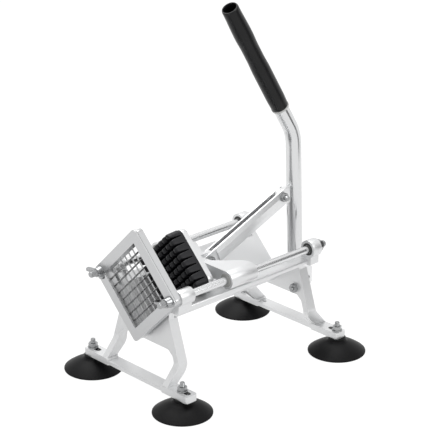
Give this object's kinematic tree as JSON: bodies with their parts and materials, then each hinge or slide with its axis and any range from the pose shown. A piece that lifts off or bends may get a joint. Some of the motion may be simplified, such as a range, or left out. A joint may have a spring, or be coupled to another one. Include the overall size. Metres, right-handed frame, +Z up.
{
  "type": "french_fry_cutter",
  "caption": "Bench french fry cutter: swinging lever, link and guided pusher with a square peg block, diamond blade grid, V trough and suction cup feet",
  "frame": {"origin": "on the table, at the middle of the four suction cups", "axes": "X across, Y from the blades (-Y) to the handle (+Y), Z up"},
  "size_m": [0.2416, 0.3216, 0.4456],
  "materials": {
    "cast_aluminium": "satin",
    "plated_steel": "polished",
    "fastener_steel": "satin",
    "blade_steel": "satin",
    "cup_rubber": "satin",
    "grip_rubber": "satin",
    "black_plastic": "satin",
    "bush_plastic": "satin"
  },
  "bodies": {
    "frame": {"front_frame": "cast_aluminium", "rear_frame": "cast_aluminium", "front_cross_bar": "cast_aluminium", "rear_cross_bar": "cast_aluminium", "trough": "cast_aluminium", "guide_rod_left": "plated_steel", "guide_rod_right": "plated_steel", "rod_washers": "fastener_steel", "rod_nuts": "fastener_steel", "cassette_frame": "cast_aluminium", "cassette_plate": "cast_aluminium", "blades_upper_set": "blade_steel", "blades_lower_set": "blade_steel", "suction_cup_front_left": "cup_rubber", "suction_cup_front_right": "cup_rubber", "suction_cup_rear_left": "cup_rubber", "suction_cup_rear_right": "cup_rubber", "foot_studs": "fastener_steel", "foot_washers": "fastener_steel", "foot_nuts": "fastener_steel", "pivot_bracket": "fastener_steel", "pivot_pin": "fastener_steel", "bracket_bolts": "fastener_steel", "bracket_nuts": "fastener_steel"},
    "wing_nut_left": {"wing_nut_left": "fastener_steel"},
    "wing_nut_right": {"wing_nut_right": "fastener_steel"},
    "pusher": {"pusher_block": "black_plastic", "carriage": "cast_aluminium", "sleeve_bush_left": "bush_plastic", "sleeve_bush_right": "bush_plastic", "block_screws": "fastener_steel"},
    "link": {"link_channel": "plated_steel", "link_lower_pin": "fastener_steel", "link_lower_nut": "fastener_steel", "link_upper_pin": "fastener_steel", "link_upper_nut": "fastener_steel"},
    "handle": {"handle_tube": "plated_steel", "handle_hub": "plated_steel", "handle_lug": "plated_steel", "grip": "grip_rubber", "grip_collar": "bush_plastic"}
  },
  "joints": [
    {"name": "handle_hinge", "type": "hinge", "parent": "frame", "child": "handle", "pos_m": [0, 0.1365, 0.0755], "axis": [1, 0, 0], "range_deg": [-45, 27]},
    {"name": "pusher_slide", "type": "slide", "parent": "frame", "child": "pusher", "axis": [0, -1, 0], "range_m": [-0.0875, 0.0526]},
    {"name": "link_hinge", "type": "hinge", "parent": "handle", "child": "link", "pos_m": [0, 0.108, 0.1862], "axis": [1, 0, 0], "range_deg": [-29.4, 48.9]},
    {"name": "wing_left_turn", "type": "hinge", "parent": "frame", "child": "wing_nut_left", "pos_m": [-0.0605, -0.134, 0.137], "axis": [0, -1, 0], "continuous": true},
    {"name": "wing_right_turn", "type": "hinge", "parent": "frame", "child": "wing_nut_right", "pos_m": [0.0605, -0.134, 0.137], "axis": [0, -1, 0], "continuous": true}
  ],
  "couplings": [
    {"joint": "pusher_slide", "follows": "handle_hinge", "m_per_rad": 0.11115},
    {"joint": "link_hinge", "follows": "handle_hinge", "ratio": -1.0829}
  ]
}
